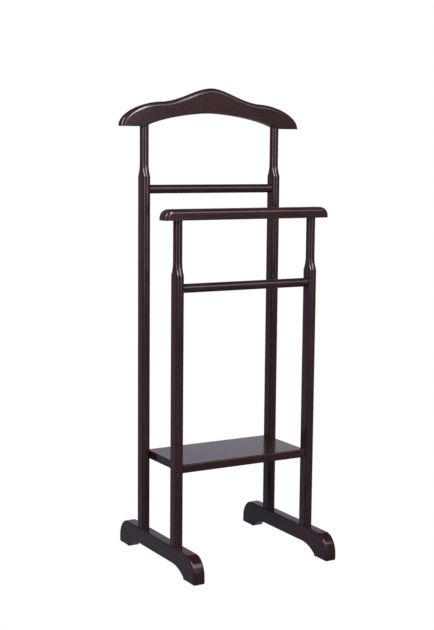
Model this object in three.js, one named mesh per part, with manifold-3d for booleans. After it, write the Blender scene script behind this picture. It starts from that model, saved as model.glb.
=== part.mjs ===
// Wooden valet stand: two arched feet, four round-edged posts with round necks, a shoulder
// yoke, a short front rail, two round trouser bars and a low shelf.
// Millimetres, +Z up, +X to the right, +Y to the back, origin on the floor under the middle.
import * as THREE from 'three';
import { mergeVertices } from 'three/addons/utils/BufferGeometryUtils.js';
import Module from 'manifold-3d';

// Post positions and how far the feet reach past them
const postSpacingAcross = 343;
const postSpacingDeep = 160;
const toeReach = 107;
const heelReach = 99;

// Feet
const footThickness = 28;
const footHeight = 58.5;
const footArchHeight = 21.7;
const footArchRadius = 83;
const footPadLength = 46.5;
const footEndLength = 37;
const footToeHeight = 14.5;
const footCornerRadius = 4;
const footEdgeRadius = 3;

// Posts
const postThickness = 20;
const postDepth = 36;
const postEdgeRadius = 9;
const neckDepth = 20;
const neckAboveBar = 58;
const flareRadius = 56;
const topTenonDiameter = 12;
const yokeTenonLength = 22;
const railTenonLength = 14;

// Trouser bars
const barDiameter = 20;
const rearBarBelowYoke = 139.3;
const frontBarBelowRail = 147.2;
const barTenonDiameter = 14;
const barTenonLength = 10;
const barTenonChamfer = 1;

// Shelf
const shelfTopHeight = 241;
const shelfThickness = 19;
const shelfFrontSetback = 10;
const shelfRearSetback = 14;
const shelfEdgeRadius = 3;

// Shoulder yoke
const yokeBaseHeight = 977.5;
const yokeHeight = 88.8;
const yokeOverhang = 62.5;
const yokeThickness = 22;
const yokeEdgeRadius = 8;
const yokeArchRise = 31.8;
const yokeArchPastPost = 1.5;

// Front top rail
const railBaseHeight = 776.7;
const railHeight = 24;
const railOverhang = 39.7;
const railThickness = 34;
const railEndRadius = 20;
const railEdgeRadius = 10;

// Foot bolts, washers and threaded inserts
const boltDiameter = 6;
const boltHeadDiameter = 10;
const boltHeadHeight = 6;
const boltSocketAcross = 5;
const boltSocketDepth = 3;
const boltTipPastInsert = 1.6;
const boltHeadSetback = 1.4;
const boltHoleDepthPastTip = 3;
const washerDiameter = 12.5;
const washerThickness = 1.6;
const washerRoom = 0.5;
const insertWall = 1.7;
const insertLength = 18;
const insertSetback = 1;

// Shelf dowels
const dowelDiameter = 6;
const dowelLength = 28;
const dowelDepthInPost = 10;
const dowelChamfer = 1;

// Clearances and the overrun of all cuts
const fitGap = 0.3;
const endGap = 1;
const overrun = 5;

// Points of the yoke's outline: shares of its half length and of its height, from the
// middle to the tip, as two curves of four points that share their middle one
const yokeTopShares = [[0, 1], [0.16, 1], [0.34, 0.648], [0.565, 0.626], [0.74, 0.607], [1, 0.356], [1, 0]];
// The arch under it: shares of its half span and of its rise, from its spring to the middle
const yokeArchShares = [[1, 0], [0.77, 0.637], [0.26, 1], [0, 1]];
// An edge's rounding takes no more than this share of its board's thickness
const roundingLimitShare = 0.45;

// Facets of round pieces and steps along curves and rounded edges
const roundFacets = 32;
const smallFacets = 20;
const socketFacets = 6;
const curveSteps = 10;
const arcSteps = 4;
const edgeSteps = 3;
const postEdgeSteps = 6;
const cornerSteps = 2;
const flareSteps = 5;

// Places worked out from the sizes above
const footLength = toeReach + postSpacingDeep + heelReach;
const postX = postSpacingAcross / 2;
const frontPostY = toeReach - footLength / 2;
const rearPostY = frontPostY + postSpacingDeep;
const innerFaceX = postX - postThickness / 2;
const rearBarHeight = yokeBaseHeight - rearBarBelowYoke;
const frontBarHeight = railBaseHeight - frontBarBelowRail;
const yokeHalf = postX + yokeOverhang;
const railHalf = postX + railOverhang;
const shelfFrontY = frontPostY - postDepth / 2 + shelfFrontSetback;
const shelfRearY = rearPostY + postDepth / 2 - shelfRearSetback;
const shelfMiddleY = (shelfFrontY + shelfRearY) / 2;
const shelfMiddleZ = shelfTopHeight - shelfThickness / 2;
const boltRecessTop = footArchHeight + boltHeadSetback + boltHeadHeight + washerThickness;
const boltRecessDiameter = washerDiameter + 2 * washerRoom;
const boltHoleDiameter = boltDiameter + 2 * fitGap;
const boltHeadZ = boltRecessTop - washerThickness;
const insertDiameter = boltHoleDiameter + 2 * insertWall;
const insertZ = footHeight + insertSetback;
const boltTipZ = insertZ + insertLength + boltTipPastInsert;
const boltLength = boltTipZ - boltHeadZ;
// The flat of a post's inner face ends at its rounded edges; each shelf dowel sits in the
// middle of what this flat and the shelf's end share
const postFlatHalf = postDepth / 2 - postEdgeRadius;
const frontDowelY = (shelfFrontY + frontPostY + postFlatHalf) / 2;
const rearDowelY = (shelfRearY + rearPostY - postFlatHalf) / 2;

const wasm = await Module();
wasm.setup();

// Colours and finish of the materials
function stainedWood() {
  return new THREE.MeshStandardMaterial({ color: 0x2a1714, roughness: 0.34, metalness: 0 });
}

function plainWood() {
  return new THREE.MeshStandardMaterial({ color: 0xb98f62, roughness: 0.75, metalness: 0 });
}

function zincSteel() {
  return new THREE.MeshStandardMaterial({ color: 0x9a9c9e, roughness: 0.4, metalness: 1 });
}

function zincAlloy() {
  return new THREE.MeshStandardMaterial({ color: 0xb7a984, roughness: 0.45, metalness: 1 });
}

// Turn a closed geometry into a solid that can be cut and joined
function toSolid(geometry) {
  const bare = geometry.clone();
  bare.deleteAttribute('normal');
  bare.deleteAttribute('uv');
  const merged = mergeVertices(bare);
  const mesh = new wasm.Mesh({
    numProp: 3,
    vertProperties: new Float32Array(merged.attributes.position.array),
    triVerts: new Uint32Array(merged.index.array),
  });
  return new wasm.Manifold(mesh);
}

function toGeometry(solid) {
  const mesh = solid.getMesh();
  const geometry = new THREE.BufferGeometry();
  geometry.setAttribute('position', new THREE.BufferAttribute(new Float32Array(mesh.vertProperties), 3));
  geometry.setIndex(new THREE.BufferAttribute(new Uint32Array(mesh.triVerts), 1));
  geometry.computeVertexNormals();
  return geometry;
}

function cutAll(solid, cutters) {
  let left = solid;
  for (const cutter of cutters) {
    left = left.subtract(toSolid(cutter));
  }
  return toGeometry(left);
}

// Directions in which an outline is swept: drawn from the front (x, z) or from the side (y, z)
const right = new THREE.Vector3(1, 0, 0);
const back = new THREE.Vector3(0, 1, 0);
const up = new THREE.Vector3(0, 0, 1);
const seenFromFront = new THREE.Matrix4().makeBasis(right, up, back.clone().negate());
const seenFromSide = new THREE.Matrix4().makeBasis(back, up, right);

// A board: an outline swept through a thickness about its middle, with the long edges rounded
function board(outline, view, thickness, edgeRadius, steps, roundingSteps = edgeSteps) {
  const rounding = Math.min(edgeRadius, thickness * roundingLimitShare);
  const depth = thickness - 2 * rounding;
  const geometry = new THREE.ExtrudeGeometry(outline, {
    depth,
    curveSegments: steps,
    bevelEnabled: rounding > 0,
    bevelThickness: rounding,
    bevelSize: rounding,
    bevelOffset: -rounding,
    bevelSegments: roundingSteps,
  });
  geometry.translate(0, 0, -depth / 2);
  geometry.applyMatrix4(view);
  return geometry;
}

// A rectangle with rounded corners, centred on the origin
function roundedRectangle(width, height, radius) {
  const x = width / 2 - radius;
  const y = height / 2 - radius;
  const outline = new THREE.Shape();
  outline.moveTo(x, -y - radius);
  outline.absarc(x, -y, radius, -Math.PI / 2, 0, false);
  outline.absarc(x, y, radius, 0, Math.PI / 2, false);
  outline.absarc(-x, y, radius, Math.PI / 2, Math.PI, false);
  outline.absarc(-x, -y, radius, Math.PI, 1.5 * Math.PI, false);
  outline.closePath();
  return outline;
}

// A turned piece: pairs of radius and height, from the axis back to the axis, standing on +Z
function turned(profile, facets) {
  const points = profile.map(([radius, height]) => new THREE.Vector2(radius, height));
  const geometry = new THREE.LatheGeometry(points, facets);
  geometry.rotateX(Math.PI / 2);
  return geometry;
}

function rod(diameter, from, to, facets) {
  const radius = diameter / 2;
  return turned([[0, from], [radius, from], [radius, to], [0, to]], facets);
}

// A round rod that runs sideways, from one x to another
function sideRod(diameter, oneX, otherX, y, z) {
  const geometry = rod(diameter, Math.min(oneX, otherX), Math.max(oneX, otherX), smallFacets);
  geometry.rotateY(Math.PI / 2);
  geometry.translate(0, y, z);
  return geometry;
}

// Foot outline, seen from the side: flat pads, an arch between them and big round ends
function footOutline() {
  const end = footLength / 2;
  const padEnd = end - footPadLength;
  const corner = footCornerRadius;
  const archDrop = footArchRadius - footArchHeight;
  const archFlat = padEnd - Math.sqrt(footArchRadius ** 2 - archDrop ** 2);
  const roundY = end - footEndLength;
  const endHeight = footHeight - footToeHeight;
  // The rounded corner between pad and arch touches the pad and the arch's curve
  const cornerReach = Math.sqrt((footArchRadius + corner) ** 2 - (archDrop + corner) ** 2);
  const cornerY = archFlat + cornerReach;
  const cornerTurn = Math.atan2(archDrop + corner, cornerReach);
  const outline = new THREE.Shape();
  outline.moveTo(end - corner, 0);
  outline.absarc(end - corner, corner, corner, -Math.PI / 2, 0, false);
  outline.absellipse(roundY, footToeHeight, footEndLength, endHeight, 0, Math.PI / 2, false);
  outline.absellipse(-roundY, footToeHeight, footEndLength, endHeight, Math.PI / 2, Math.PI, false);
  outline.absarc(corner - end, corner, corner, Math.PI, 1.5 * Math.PI, false);
  outline.absarc(-cornerY, corner, corner, -Math.PI / 2, -cornerTurn, false);
  outline.absarc(-archFlat, -archDrop, footArchRadius, Math.PI - cornerTurn, Math.PI / 2, true);
  outline.absarc(archFlat, -archDrop, footArchRadius, Math.PI / 2, cornerTurn, true);
  outline.absarc(cornerY, corner, corner, Math.PI + cornerTurn, 1.5 * Math.PI, false);
  outline.closePath();
  return outline;
}

// Each foot has a recess and a bolt hole under both of its posts
function footGeometry() {
  const blank = board(footOutline(), seenFromSide, footThickness, footEdgeRadius, arcSteps);
  const cutters = [];
  for (const y of [frontPostY, rearPostY]) {
    const recess = rod(boltRecessDiameter, 0, boltRecessTop, smallFacets);
    recess.translate(0, y, 0);
    const hole = rod(boltHoleDiameter, footArchHeight, footHeight + overrun, smallFacets);
    hole.translate(0, y, 0);
    cutters.push(recess, hole);
  }
  return cutAll(toSolid(blank), cutters);
}

// Post, seen from the side: its full depth up to the flare's foot, where a hollow before and
// behind runs up to the neck
function postOutline(neckFoot, low, high) {
  const body = postDepth / 2;
  const neck = neckDepth / 2;
  const straight = flareRadius - (body - neck);
  const flareLength = Math.sqrt(flareRadius ** 2 - straight ** 2);
  const turn = Math.atan2(flareLength, straight);
  const outline = new THREE.Shape();
  outline.moveTo(-body, low);
  outline.lineTo(body, low);
  outline.absarc(neck + flareRadius, neckFoot, flareRadius, Math.PI + turn, Math.PI, true);
  outline.lineTo(neck, high);
  outline.lineTo(-neck, high);
  outline.absarc(-neck - flareRadius, neckFoot, flareRadius, 0, -turn, true);
  outline.closePath();
  return outline;
}

// A post with its neck cut under what it carries, its tenon, and the bores for the bar,
// the shelf's dowel and the foot's bolt; its rounded blank runs on past both cut ends
function postGeometry(row, side) {
  const neckTop = row.topHeight + row.hollowAbove;
  const rounding = Math.min(postEdgeRadius, neckDepth * roundingLimitShare);
  const past = rounding + overrun;
  const outline = postOutline(row.barHeight + neckAboveBar, footHeight - past, neckTop + past);
  const blank = board(outline, seenFromSide, postThickness, rounding, flareSteps, postEdgeSteps);
  const length = neckTop - footHeight;
  const ends = new THREE.BoxGeometry(postThickness + 2 * overrun, postDepth + 2 * overrun, length);
  ends.translate(0, 0, footHeight + length / 2);
  let post = toSolid(blank).intersect(toSolid(ends));
  if (row.hollowAbove > 0) {
    const wide = postDepth + 2 * overrun;
    const under = board(yokeUndersideOutline(yokeBaseHeight), seenFromFront, wide, 0, curveSteps);
    under.translate(-side * postX, 0, yokeBaseHeight - fitGap);
    post = post.intersect(toSolid(under));
  }
  const tenon = rod(topTenonDiameter, row.topHeight - overrun, row.topHeight + row.tenonLength, smallFacets);
  const innerFace = side * -postThickness / 2;
  const barBore = sideRod(
    barTenonDiameter + 2 * fitGap,
    innerFace - side * overrun,
    innerFace + side * (barTenonLength + endGap),
    0,
    row.barHeight,
  );
  const dowelBore = sideRod(
    dowelDiameter + 2 * fitGap,
    innerFace - side * overrun,
    innerFace + side * (dowelDepthInPost + endGap),
    row.dowelY - row.y,
    shelfMiddleZ,
  );
  const boltBore = rod(insertDiameter + 2 * fitGap, 0, boltTipZ + boltHoleDepthPastTip, smallFacets);
  return cutAll(post.add(toSolid(tenon)), [barBore, dowelBore, boltBore]);
}

// Yoke, seen from the front: a crown in the middle, hollow sides and drooping round tips
function yokeTopOutline(below) {
  const at = ([x, z], side) => [side * x * yokeHalf, z * yokeHeight];
  const [crown, crownOut, waistIn, waist, waistOut, tipIn, tip] = yokeTopShares;
  const outline = new THREE.Shape();
  outline.moveTo(...at(crown, 1));
  outline.bezierCurveTo(...at(crownOut, -1), ...at(waistIn, -1), ...at(waist, -1));
  outline.bezierCurveTo(...at(waistOut, -1), ...at(tipIn, -1), ...at(tip, -1));
  outline.lineTo(-yokeHalf, -below);
  outline.lineTo(yokeHalf, -below);
  outline.lineTo(...at(tip, 1));
  outline.bezierCurveTo(...at(tipIn, 1), ...at(waistOut, 1), ...at(waist, 1));
  outline.bezierCurveTo(...at(waistIn, 1), ...at(crownOut, 1), ...at(crown, 1));
  return outline;
}

// The space under the yoke: flat under the tips, arched between the posts
function yokeUndersideOutline(below) {
  const halfSpan = postX + yokeArchPastPost;
  const at = ([x, z], side) => [side * x * halfSpan, z * yokeArchRise];
  const [spring, springIn, crownOut, crown] = yokeArchShares;
  const far = yokeHalf + overrun;
  const outline = new THREE.Shape();
  outline.moveTo(-far, -below);
  outline.lineTo(far, -below);
  outline.lineTo(far, 0);
  outline.lineTo(...at(spring, 1));
  outline.bezierCurveTo(...at(springIn, 1), ...at(crownOut, 1), ...at(crown, 1));
  outline.bezierCurveTo(...at(crownOut, -1), ...at(springIn, -1), ...at(spring, -1));
  outline.lineTo(-far, 0);
  outline.closePath();
  return outline;
}

function topTenonBore(side, tenonLength) {
  const bore = rod(topTenonDiameter + 2 * fitGap, -overrun, tenonLength + endGap, smallFacets);
  bore.translate(side * postX, 0, 0);
  return bore;
}

// The rounded edges run on below the yoke's base, so its lower edges are cut crisp
function yokeGeometry() {
  const below = yokeEdgeRadius + overrun;
  const blank = board(yokeTopOutline(below), seenFromFront, yokeThickness, yokeEdgeRadius, curveSteps);
  const wide = yokeThickness + 2 * overrun;
  const underside = board(yokeUndersideOutline(below + overrun), seenFromFront, wide, 0, curveSteps);
  const bores = [topTenonBore(-1, yokeTenonLength), topTenonBore(1, yokeTenonLength)];
  return cutAll(toSolid(blank), [underside, ...bores]);
}

// Rail, seen from the front: flat and crisp below, with quarter-round ends
function railGeometry() {
  const below = railEdgeRadius + overrun;
  const inner = railHalf - railEndRadius;
  const shoulder = railHeight - railEndRadius;
  const outline = new THREE.Shape();
  outline.moveTo(-railHalf, -below);
  outline.lineTo(railHalf, -below);
  outline.absarc(inner, shoulder, railEndRadius, 0, Math.PI / 2, false);
  outline.absarc(-inner, shoulder, railEndRadius, Math.PI / 2, Math.PI, false);
  outline.closePath();
  const blank = board(outline, seenFromFront, railThickness, railEdgeRadius, arcSteps);
  const cutDepth = below + overrun;
  const base = new THREE.BoxGeometry(2 * (railHalf + overrun), railThickness + 2 * overrun, cutDepth);
  base.translate(0, 0, -cutDepth / 2);
  const bores = [topTenonBore(-1, railTenonLength), topTenonBore(1, railTenonLength)];
  return cutAll(toSolid(blank), [base, ...bores]);
}

// Trouser bar: a round rod whose turned-down ends sit in the posts
function barGeometry() {
  const radius = barDiameter / 2;
  const tenon = barTenonDiameter / 2;
  const chamfer = barTenonChamfer;
  const end = innerFaceX + barTenonLength;
  const half = [
    [radius, innerFaceX],
    [tenon, innerFaceX],
    [tenon, end - chamfer],
    [tenon - chamfer, end],
    [0, end],
  ];
  const mirrored = half.map(([r, x]) => [r, -x]).reverse();
  const geometry = turned([...mirrored, ...half], roundFacets);
  geometry.rotateY(Math.PI / 2);
  return geometry;
}

// Shelf: a board with eased long edges and dowel bores, its ends flat against the posts
function shelfGeometry() {
  const outline = roundedRectangle(shelfRearY - shelfFrontY, shelfThickness, shelfEdgeRadius);
  const blank = board(outline, seenFromSide, 2 * innerFaceX, 0, cornerSteps);
  const depth = dowelLength - dowelDepthInPost + endGap;
  const cutters = [];
  for (const side of [-1, 1]) {
    for (const y of [frontDowelY, rearDowelY]) {
      const inside = side * (innerFaceX - depth);
      const outside = side * (innerFaceX + overrun);
      cutters.push(sideRod(dowelDiameter + 2 * fitGap, inside, outside, y - shelfMiddleY, 0));
    }
  }
  return cutAll(toSolid(blank), cutters);
}

function dowelGeometry() {
  const radius = dowelDiameter / 2;
  const half = dowelLength / 2;
  const profile = [
    [0, -half],
    [radius - dowelChamfer, -half],
    [radius, dowelChamfer - half],
    [radius, half - dowelChamfer],
    [radius - dowelChamfer, half],
    [0, half],
  ];
  const geometry = turned(profile, smallFacets);
  geometry.rotateY(Math.PI / 2);
  return geometry;
}

// Bolt with its head down: a hexagon socket below, the shank above
function boltGeometry() {
  const head = boltHeadDiameter / 2;
  const shank = boltDiameter / 2;
  const profile = [
    [0, -boltHeadHeight],
    [head, -boltHeadHeight],
    [head, 0],
    [shank, 0],
    [shank, boltLength],
    [0, boltLength],
  ];
  const socketDiameter = boltSocketAcross / Math.cos(Math.PI / socketFacets);
  const socketFoot = -boltHeadHeight - overrun;
  const socket = rod(socketDiameter, socketFoot, boltSocketDepth - boltHeadHeight, socketFacets);
  return cutAll(toSolid(turned(profile, smallFacets)), [socket]);
}

// A ring turned from a closed profile
function ringGeometry(outerDiameter, innerDiameter, height) {
  const outer = outerDiameter / 2;
  const inner = innerDiameter / 2;
  return turned([[inner, 0], [outer, 0], [outer, height], [inner, height], [inner, 0]], smallFacets);
}

const stand = new THREE.Group();
stand.name = 'valet_stand';

function place(name, geometry, material, x, y, z) {
  const mesh = new THREE.Mesh(geometry, material);
  mesh.name = name;
  mesh.position.set(x, y, z);
  stand.add(mesh);
}

// The rear posts meet the yoke's hollow underside, the front posts the rail's flat one
const rows = [
  {
    name: 'rear',
    y: rearPostY,
    dowelY: rearDowelY,
    barHeight: rearBarHeight,
    topHeight: yokeBaseHeight,
    hollowAbove: yokeArchRise,
    tenonLength: yokeTenonLength,
  },
  {
    name: 'front',
    y: frontPostY,
    dowelY: frontDowelY,
    barHeight: frontBarHeight,
    topHeight: railBaseHeight,
    hollowAbove: 0,
    tenonLength: railTenonLength,
  },
];

for (const [sideName, side] of [['left', -1], ['right', 1]]) {
  const x = side * postX;
  place(`foot_${sideName}`, footGeometry(), stainedWood(), x, 0, 0);
  for (const row of rows) {
    const where = `${row.name}_${sideName}`;
    const washer = ringGeometry(washerDiameter, boltHoleDiameter, washerThickness);
    const insert = ringGeometry(insertDiameter, boltHoleDiameter, insertLength);
    const dowelX = side * (innerFaceX + dowelDepthInPost - dowelLength / 2);
    place(`post_${where}`, postGeometry(row, side), stainedWood(), x, row.y, 0);
    place(`foot_bolt_${where}`, boltGeometry(), zincSteel(), x, row.y, boltHeadZ);
    place(`foot_washer_${where}`, washer, zincSteel(), x, row.y, boltHeadZ);
    place(`post_insert_${where}`, insert, zincAlloy(), x, row.y, insertZ);
    place(`shelf_dowel_${where}`, dowelGeometry(), plainWood(), dowelX, row.dowelY, shelfMiddleZ);
  }
}

place('hanger_yoke', yokeGeometry(), stainedWood(), 0, rearPostY, yokeBaseHeight);
place('front_top_rail', railGeometry(), stainedWood(), 0, frontPostY, railBaseHeight);
place('rear_trouser_bar', barGeometry(), stainedWood(), 0, rearPostY, rearBarHeight);
place('front_trouser_bar', barGeometry(), stainedWood(), 0, frontPostY, frontBarHeight);
place('shelf', shelfGeometry(), stainedWood(), 0, shelfMiddleY, shelfMiddleZ);

export default stand;
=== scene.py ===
import math
from collections import namedtuple
import bmesh
import bpy
from mathutils import Matrix, Vector


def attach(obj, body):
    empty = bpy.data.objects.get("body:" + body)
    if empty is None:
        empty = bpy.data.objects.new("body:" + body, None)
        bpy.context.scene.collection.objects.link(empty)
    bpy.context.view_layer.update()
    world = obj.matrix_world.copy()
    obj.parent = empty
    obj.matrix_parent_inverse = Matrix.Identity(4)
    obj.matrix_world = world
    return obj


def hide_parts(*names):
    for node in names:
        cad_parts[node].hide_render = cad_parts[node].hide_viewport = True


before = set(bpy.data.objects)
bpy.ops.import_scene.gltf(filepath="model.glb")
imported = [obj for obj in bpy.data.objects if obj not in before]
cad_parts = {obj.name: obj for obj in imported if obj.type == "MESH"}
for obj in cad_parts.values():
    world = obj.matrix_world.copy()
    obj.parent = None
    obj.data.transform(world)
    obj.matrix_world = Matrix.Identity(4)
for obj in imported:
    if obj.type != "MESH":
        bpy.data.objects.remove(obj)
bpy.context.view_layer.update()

# A wooden valet stand in dark stained wood. Metres, +Z up, +X right, +Y back.

X, Y, Z = 0, 1, 2

# ---- Sizes of the stand ----

POST_X = 0.1715
FRONT_POST_Y = -0.076
REAR_POST_Y = 0.084
POST_THICK = 0.020
POST_DEPTH = 0.036
POST_EDGE = 0.0096
POST_FOOT_EASE = 0.0004
NECK_DEPTH = 0.020
NECK_ABOVE_BAR = 0.058
FLARE_RADIUS = 0.056
FLARE_EASE = 0.0012
# How near the eased corner at the flare's foot stays to the post's face
FLARE_CORNER_SHARE = 0.75
TOP_TENON_RADIUS = 0.006
TENON_CHAMFER = 0.001
YOKE_TENON = 0.022
RAIL_TENON = 0.014
# Inner faces of the posts, where the bars and the shelf begin
INNER_X = POST_X - POST_THICK / 2

FOOT_HALF = 0.183
FOOT_THICK = 0.028
FOOT_HEIGHT = 0.0585
FOOT_ARCH_HEIGHT = 0.0217
FOOT_ARCH_RADIUS = 0.083
FOOT_PAD = 0.0465
FOOT_END = 0.037
FOOT_TOE_HEIGHT = 0.0145
FOOT_CORNER = 0.004
PAD_CORNER = 0.011
FOOT_EDGE = 0.0038

BAR_RADIUS = 0.010
BAR_TENON_RADIUS = 0.007
BAR_TENON = 0.010
BAR_SHOULDER_EASE = 0.0003
REAR_BAR_Z = 0.8382
FRONT_BAR_Z = 0.6295

SHELF_TOP = 0.241
SHELF_THICK = 0.019
SHELF_FRONT_Y = -0.084
SHELF_REAR_Y = 0.088
SHELF_EDGE = 0.003
SHELF_END_EASE = 0.0003
DOWEL_RADIUS = 0.003
FRONT_DOWEL_Y = -0.0755
REAR_DOWEL_Y = 0.0815
DOWEL_IN_POST = 0.010
DOWEL_IN_SHELF = 0.018

YOKE_BASE = 0.9775
YOKE_RISE = 0.0888
YOKE_HALF = 0.234
YOKE_THICK = 0.022
YOKE_EDGE = 0.0095
YOKE_LOWER_EASE = 0.0006
YOKE_ARCH_RISE = 0.0318
YOKE_ARCH_HALF = 0.173

# Points of the yoke's outline: shares of its half length and rise for the top,
# and of the arch's half span and rise for the underside
YOKE_CROWN = (0, 1)
YOKE_CROWN_OUT = (0.16, 1)
YOKE_WAIST_IN = (0.34, 0.648)
YOKE_WAIST = (0.565, 0.626)
YOKE_WAIST_OUT = (0.74, 0.607)
YOKE_TIP_IN = (1, 0.356)
YOKE_TIP = (1, 0)
YOKE_SPRING = (1, 0)
YOKE_SPRING_IN = (0.77, 0.637)
YOKE_ARCH_OUT = (0.26, 1)
YOKE_ARCH = (0, 1)

RAIL_BASE = 0.7767
RAIL_HEIGHT = 0.024
RAIL_HALF = 0.2112
RAIL_THICK = 0.034
RAIL_END = 0.020
RAIL_EDGE = 0.010
RAIL_LOWER_EASE = 0.0006

BOLT_HEAD_RADIUS = 0.005
BOLT_HEAD_TOP = 0.0291
BOLT_HEAD_HEIGHT = 0.006
BOLT_HEAD_CHAMFER = 0.0006
BOLT_SOCKET_ACROSS = 0.005
BOLT_SOCKET_DEPTH = 0.003
BOLT_RADIUS = 0.003
BOLT_TIP = 0.0791
WASHER_RADIUS = 0.00625
WASHER_THICK = 0.0016
WASHER_CHAMFER = 0.0003
RECESS_RADIUS = 0.00675
RECESS_TOP = 0.0307
HOLE_RADIUS = 0.0033
INSERT_BORE_RADIUS = 0.0053
INSERT_BORE_TOP = 0.0821

# Room round a tenon, between neck and yoke, and past a tenon's end
GAP = 0.0003
SEAM = 0.0002
END_ROOM = 0.001

# How far cutters reach past a face, how near two places count as one, flat or on a curve, and
# how nearly an edge or a face has to follow an axis
OVERRUN = 0.005
TINY = 0.00001
CURVE_TINY = 0.0001
STRAIGHT_SHARE = 0.999

# How finely curves are made: sides of a turned piece, steps of a curve
ROUND_FACETS = 48
BAR_FACETS = 72
HEXAGON = 6
FLARE_STEPS = 22
YOKE_STEPS = 28

# Angles in degrees: corners above the first two stay sharp in the shading, and edges that turn
# by less than the third are one line
SHARP_ANGLE = 32
POST_SHARP_ANGLE = 26
ONE_LINE_ANGLE = 0.1

# How strongly flat faces hold the shading of the roundings beside them
FLAT_FACE_WEIGHT = 60

# The two pairs of posts, and the two sides
Row = namedtuple("Row", "name y bar_z dowel_y top_z tenon")
ROWS = [
    Row("rear", REAR_POST_Y, REAR_BAR_Z, REAR_DOWEL_Y, YOKE_BASE, YOKE_TENON),
    Row("front", FRONT_POST_Y, FRONT_BAR_Z, FRONT_DOWEL_Y, RAIL_BASE, RAIL_TENON),
]
SIDES = [("left", -1), ("right", 1)]


# ---- Workbench: taking a piece, picking its edges, rounding, cutting and turning ----

def take(piece):
    """Puts one piece alone on the bench."""
    if bpy.context.mode != "OBJECT":
        bpy.ops.object.mode_set(mode="OBJECT")
    bpy.ops.object.select_all(action="DESELECT")
    if piece:
        piece.select_set(True)
        bpy.context.view_layer.objects.active = piece


def settle(piece, name):
    """Leaves a new piece at the origin, with its place in its mesh."""
    take(piece)
    bpy.ops.object.transform_apply(location=True, rotation=True, scale=True)
    piece.name = name
    piece.data.name = name
    return piece


def block(name, low, high):
    """A sawn block between two corners."""
    take(None)
    size = [b - a for a, b in zip(low, high)]
    centre = [(a + b) / 2 for a, b in zip(low, high)]
    bpy.ops.mesh.primitive_cube_add(size=1, location=centre, scale=size)
    return settle(bpy.context.object, name)


def pick(piece, kind, wanted):
    """Selects the corners, edges or faces that a test wants, ready for an edit."""
    take(piece)
    bpy.ops.object.mode_set(mode="EDIT")
    bpy.ops.mesh.select_mode(type=kind)
    bpy.ops.mesh.select_all(action="DESELECT")
    shape = bmesh.from_edit_mesh(piece.data)
    parts = {"VERT": shape.verts, "EDGE": shape.edges, "FACE": shape.faces}[kind]
    for part in parts:
        if wanted(part):
            part.select_set(True)
    shape.select_flush_mode()
    bmesh.update_edit_mesh(piece.data)


def done():
    """Ends an edit."""
    bpy.ops.object.mode_set(mode="OBJECT")


def middle(edge):
    """The point halfway along an edge."""
    return (edge.verts[0].co + edge.verts[1].co) / 2


def runs_along(edge, axis):
    """True for an edge that runs along an axis."""
    run = edge.verts[1].co - edge.verts[0].co
    return abs(run[axis]) > STRAIGHT_SHARE * run.length


def lies_at(edge, axis, place):
    """True for an edge that lies whole in a plane across an axis."""
    return all(abs(corner.co[axis] - place) < TINY for corner in edge.verts)


def in_plane(axis, *places):
    """A test for edges in a plane across an axis, or in one of several."""
    return lambda edge: any(lies_at(edge, axis, place) for place in places)


def along_at(run_axis, axis, place):
    """A test for edges that run along one axis, at a place on another."""
    return lambda edge: runs_along(edge, run_axis) and lies_at(edge, axis, place)


def round_edges(piece, radius, wanted, segments=2):
    """Rounds the edges that a test wants, as with a router."""
    pick(piece, "EDGE", wanted)
    bpy.ops.mesh.bevel(
        offset_type="OFFSET",
        offset=radius,
        segments=segments,
        profile=0.5,
        affect="EDGES",
        clamp_overlap=False,
    )
    done()


def combine(piece, other, operation):
    """Cuts a piece with another one or joins them, and uses the other one up."""
    tool = piece.modifiers.new("cut", "BOOLEAN")
    tool.operation = operation
    tool.solver = "EXACT"
    tool.object = other
    take(piece)
    bpy.ops.object.modifier_apply(modifier=tool.name)
    bpy.data.objects.remove(other, do_unlink=True)


def draw_up(profile, x=0, y=0, narrows_sideways=True):
    """Draws the picked face up through pairs of reach and height. It widens and narrows with
    the reach round x and y, or only before and behind."""
    for (reach, height), (next_reach, next_height) in zip(profile, profile[1:]):
        step = (0, 0, next_height - height)
        bpy.ops.mesh.extrude_region_move(TRANSFORM_OT_translate={"value": step})
        share = next_reach / reach
        if share != 1:
            sideways = share if narrows_sideways else 1
            centre = (x, y, next_height)
            bpy.ops.transform.resize(value=(sideways, share, 1), center_override=centre)


def turned(name, profile, facets, place, lying=False):
    """A piece turned on the lathe from pairs of radius and height, upright or lying along X."""
    take(None)
    radius, height = profile[0]
    bpy.ops.mesh.primitive_circle_add(vertices=facets, radius=radius, fill_type="NGON")
    piece = bpy.context.object
    bpy.ops.object.mode_set(mode="EDIT")
    bpy.ops.mesh.select_all(action="SELECT")
    bpy.ops.transform.translate(value=(0, 0, height))
    draw_up(profile)
    bpy.ops.mesh.select_all(action="SELECT")
    bpy.ops.mesh.normals_make_consistent(inside=False)
    done()
    if lying:
        piece.rotation_euler = (0, math.pi / 2, 0)
    piece.location = place
    return settle(piece, name)


def drill(piece, radius, start, end, facets=ROUND_FACETS):
    """Bores a hole along X or Z between two points on its axis."""
    lying = start[X] != end[X]
    axis = X if lying else Z
    length = abs(end[axis] - start[axis])
    centre = [(a + b) / 2 for a, b in zip(start, end)]
    bit = turned("bit", [(radius, -length / 2), (radius, length / 2)], facets, centre, lying)
    combine(piece, bit, "DIFFERENCE")


def copy_of(piece, name, shift):
    """A copy with its own mesh, moved by a shift."""
    other = piece.copy()
    other.data = piece.data.copy()
    bpy.context.collection.objects.link(other)
    other.location = shift
    return settle(other, name)


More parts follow.
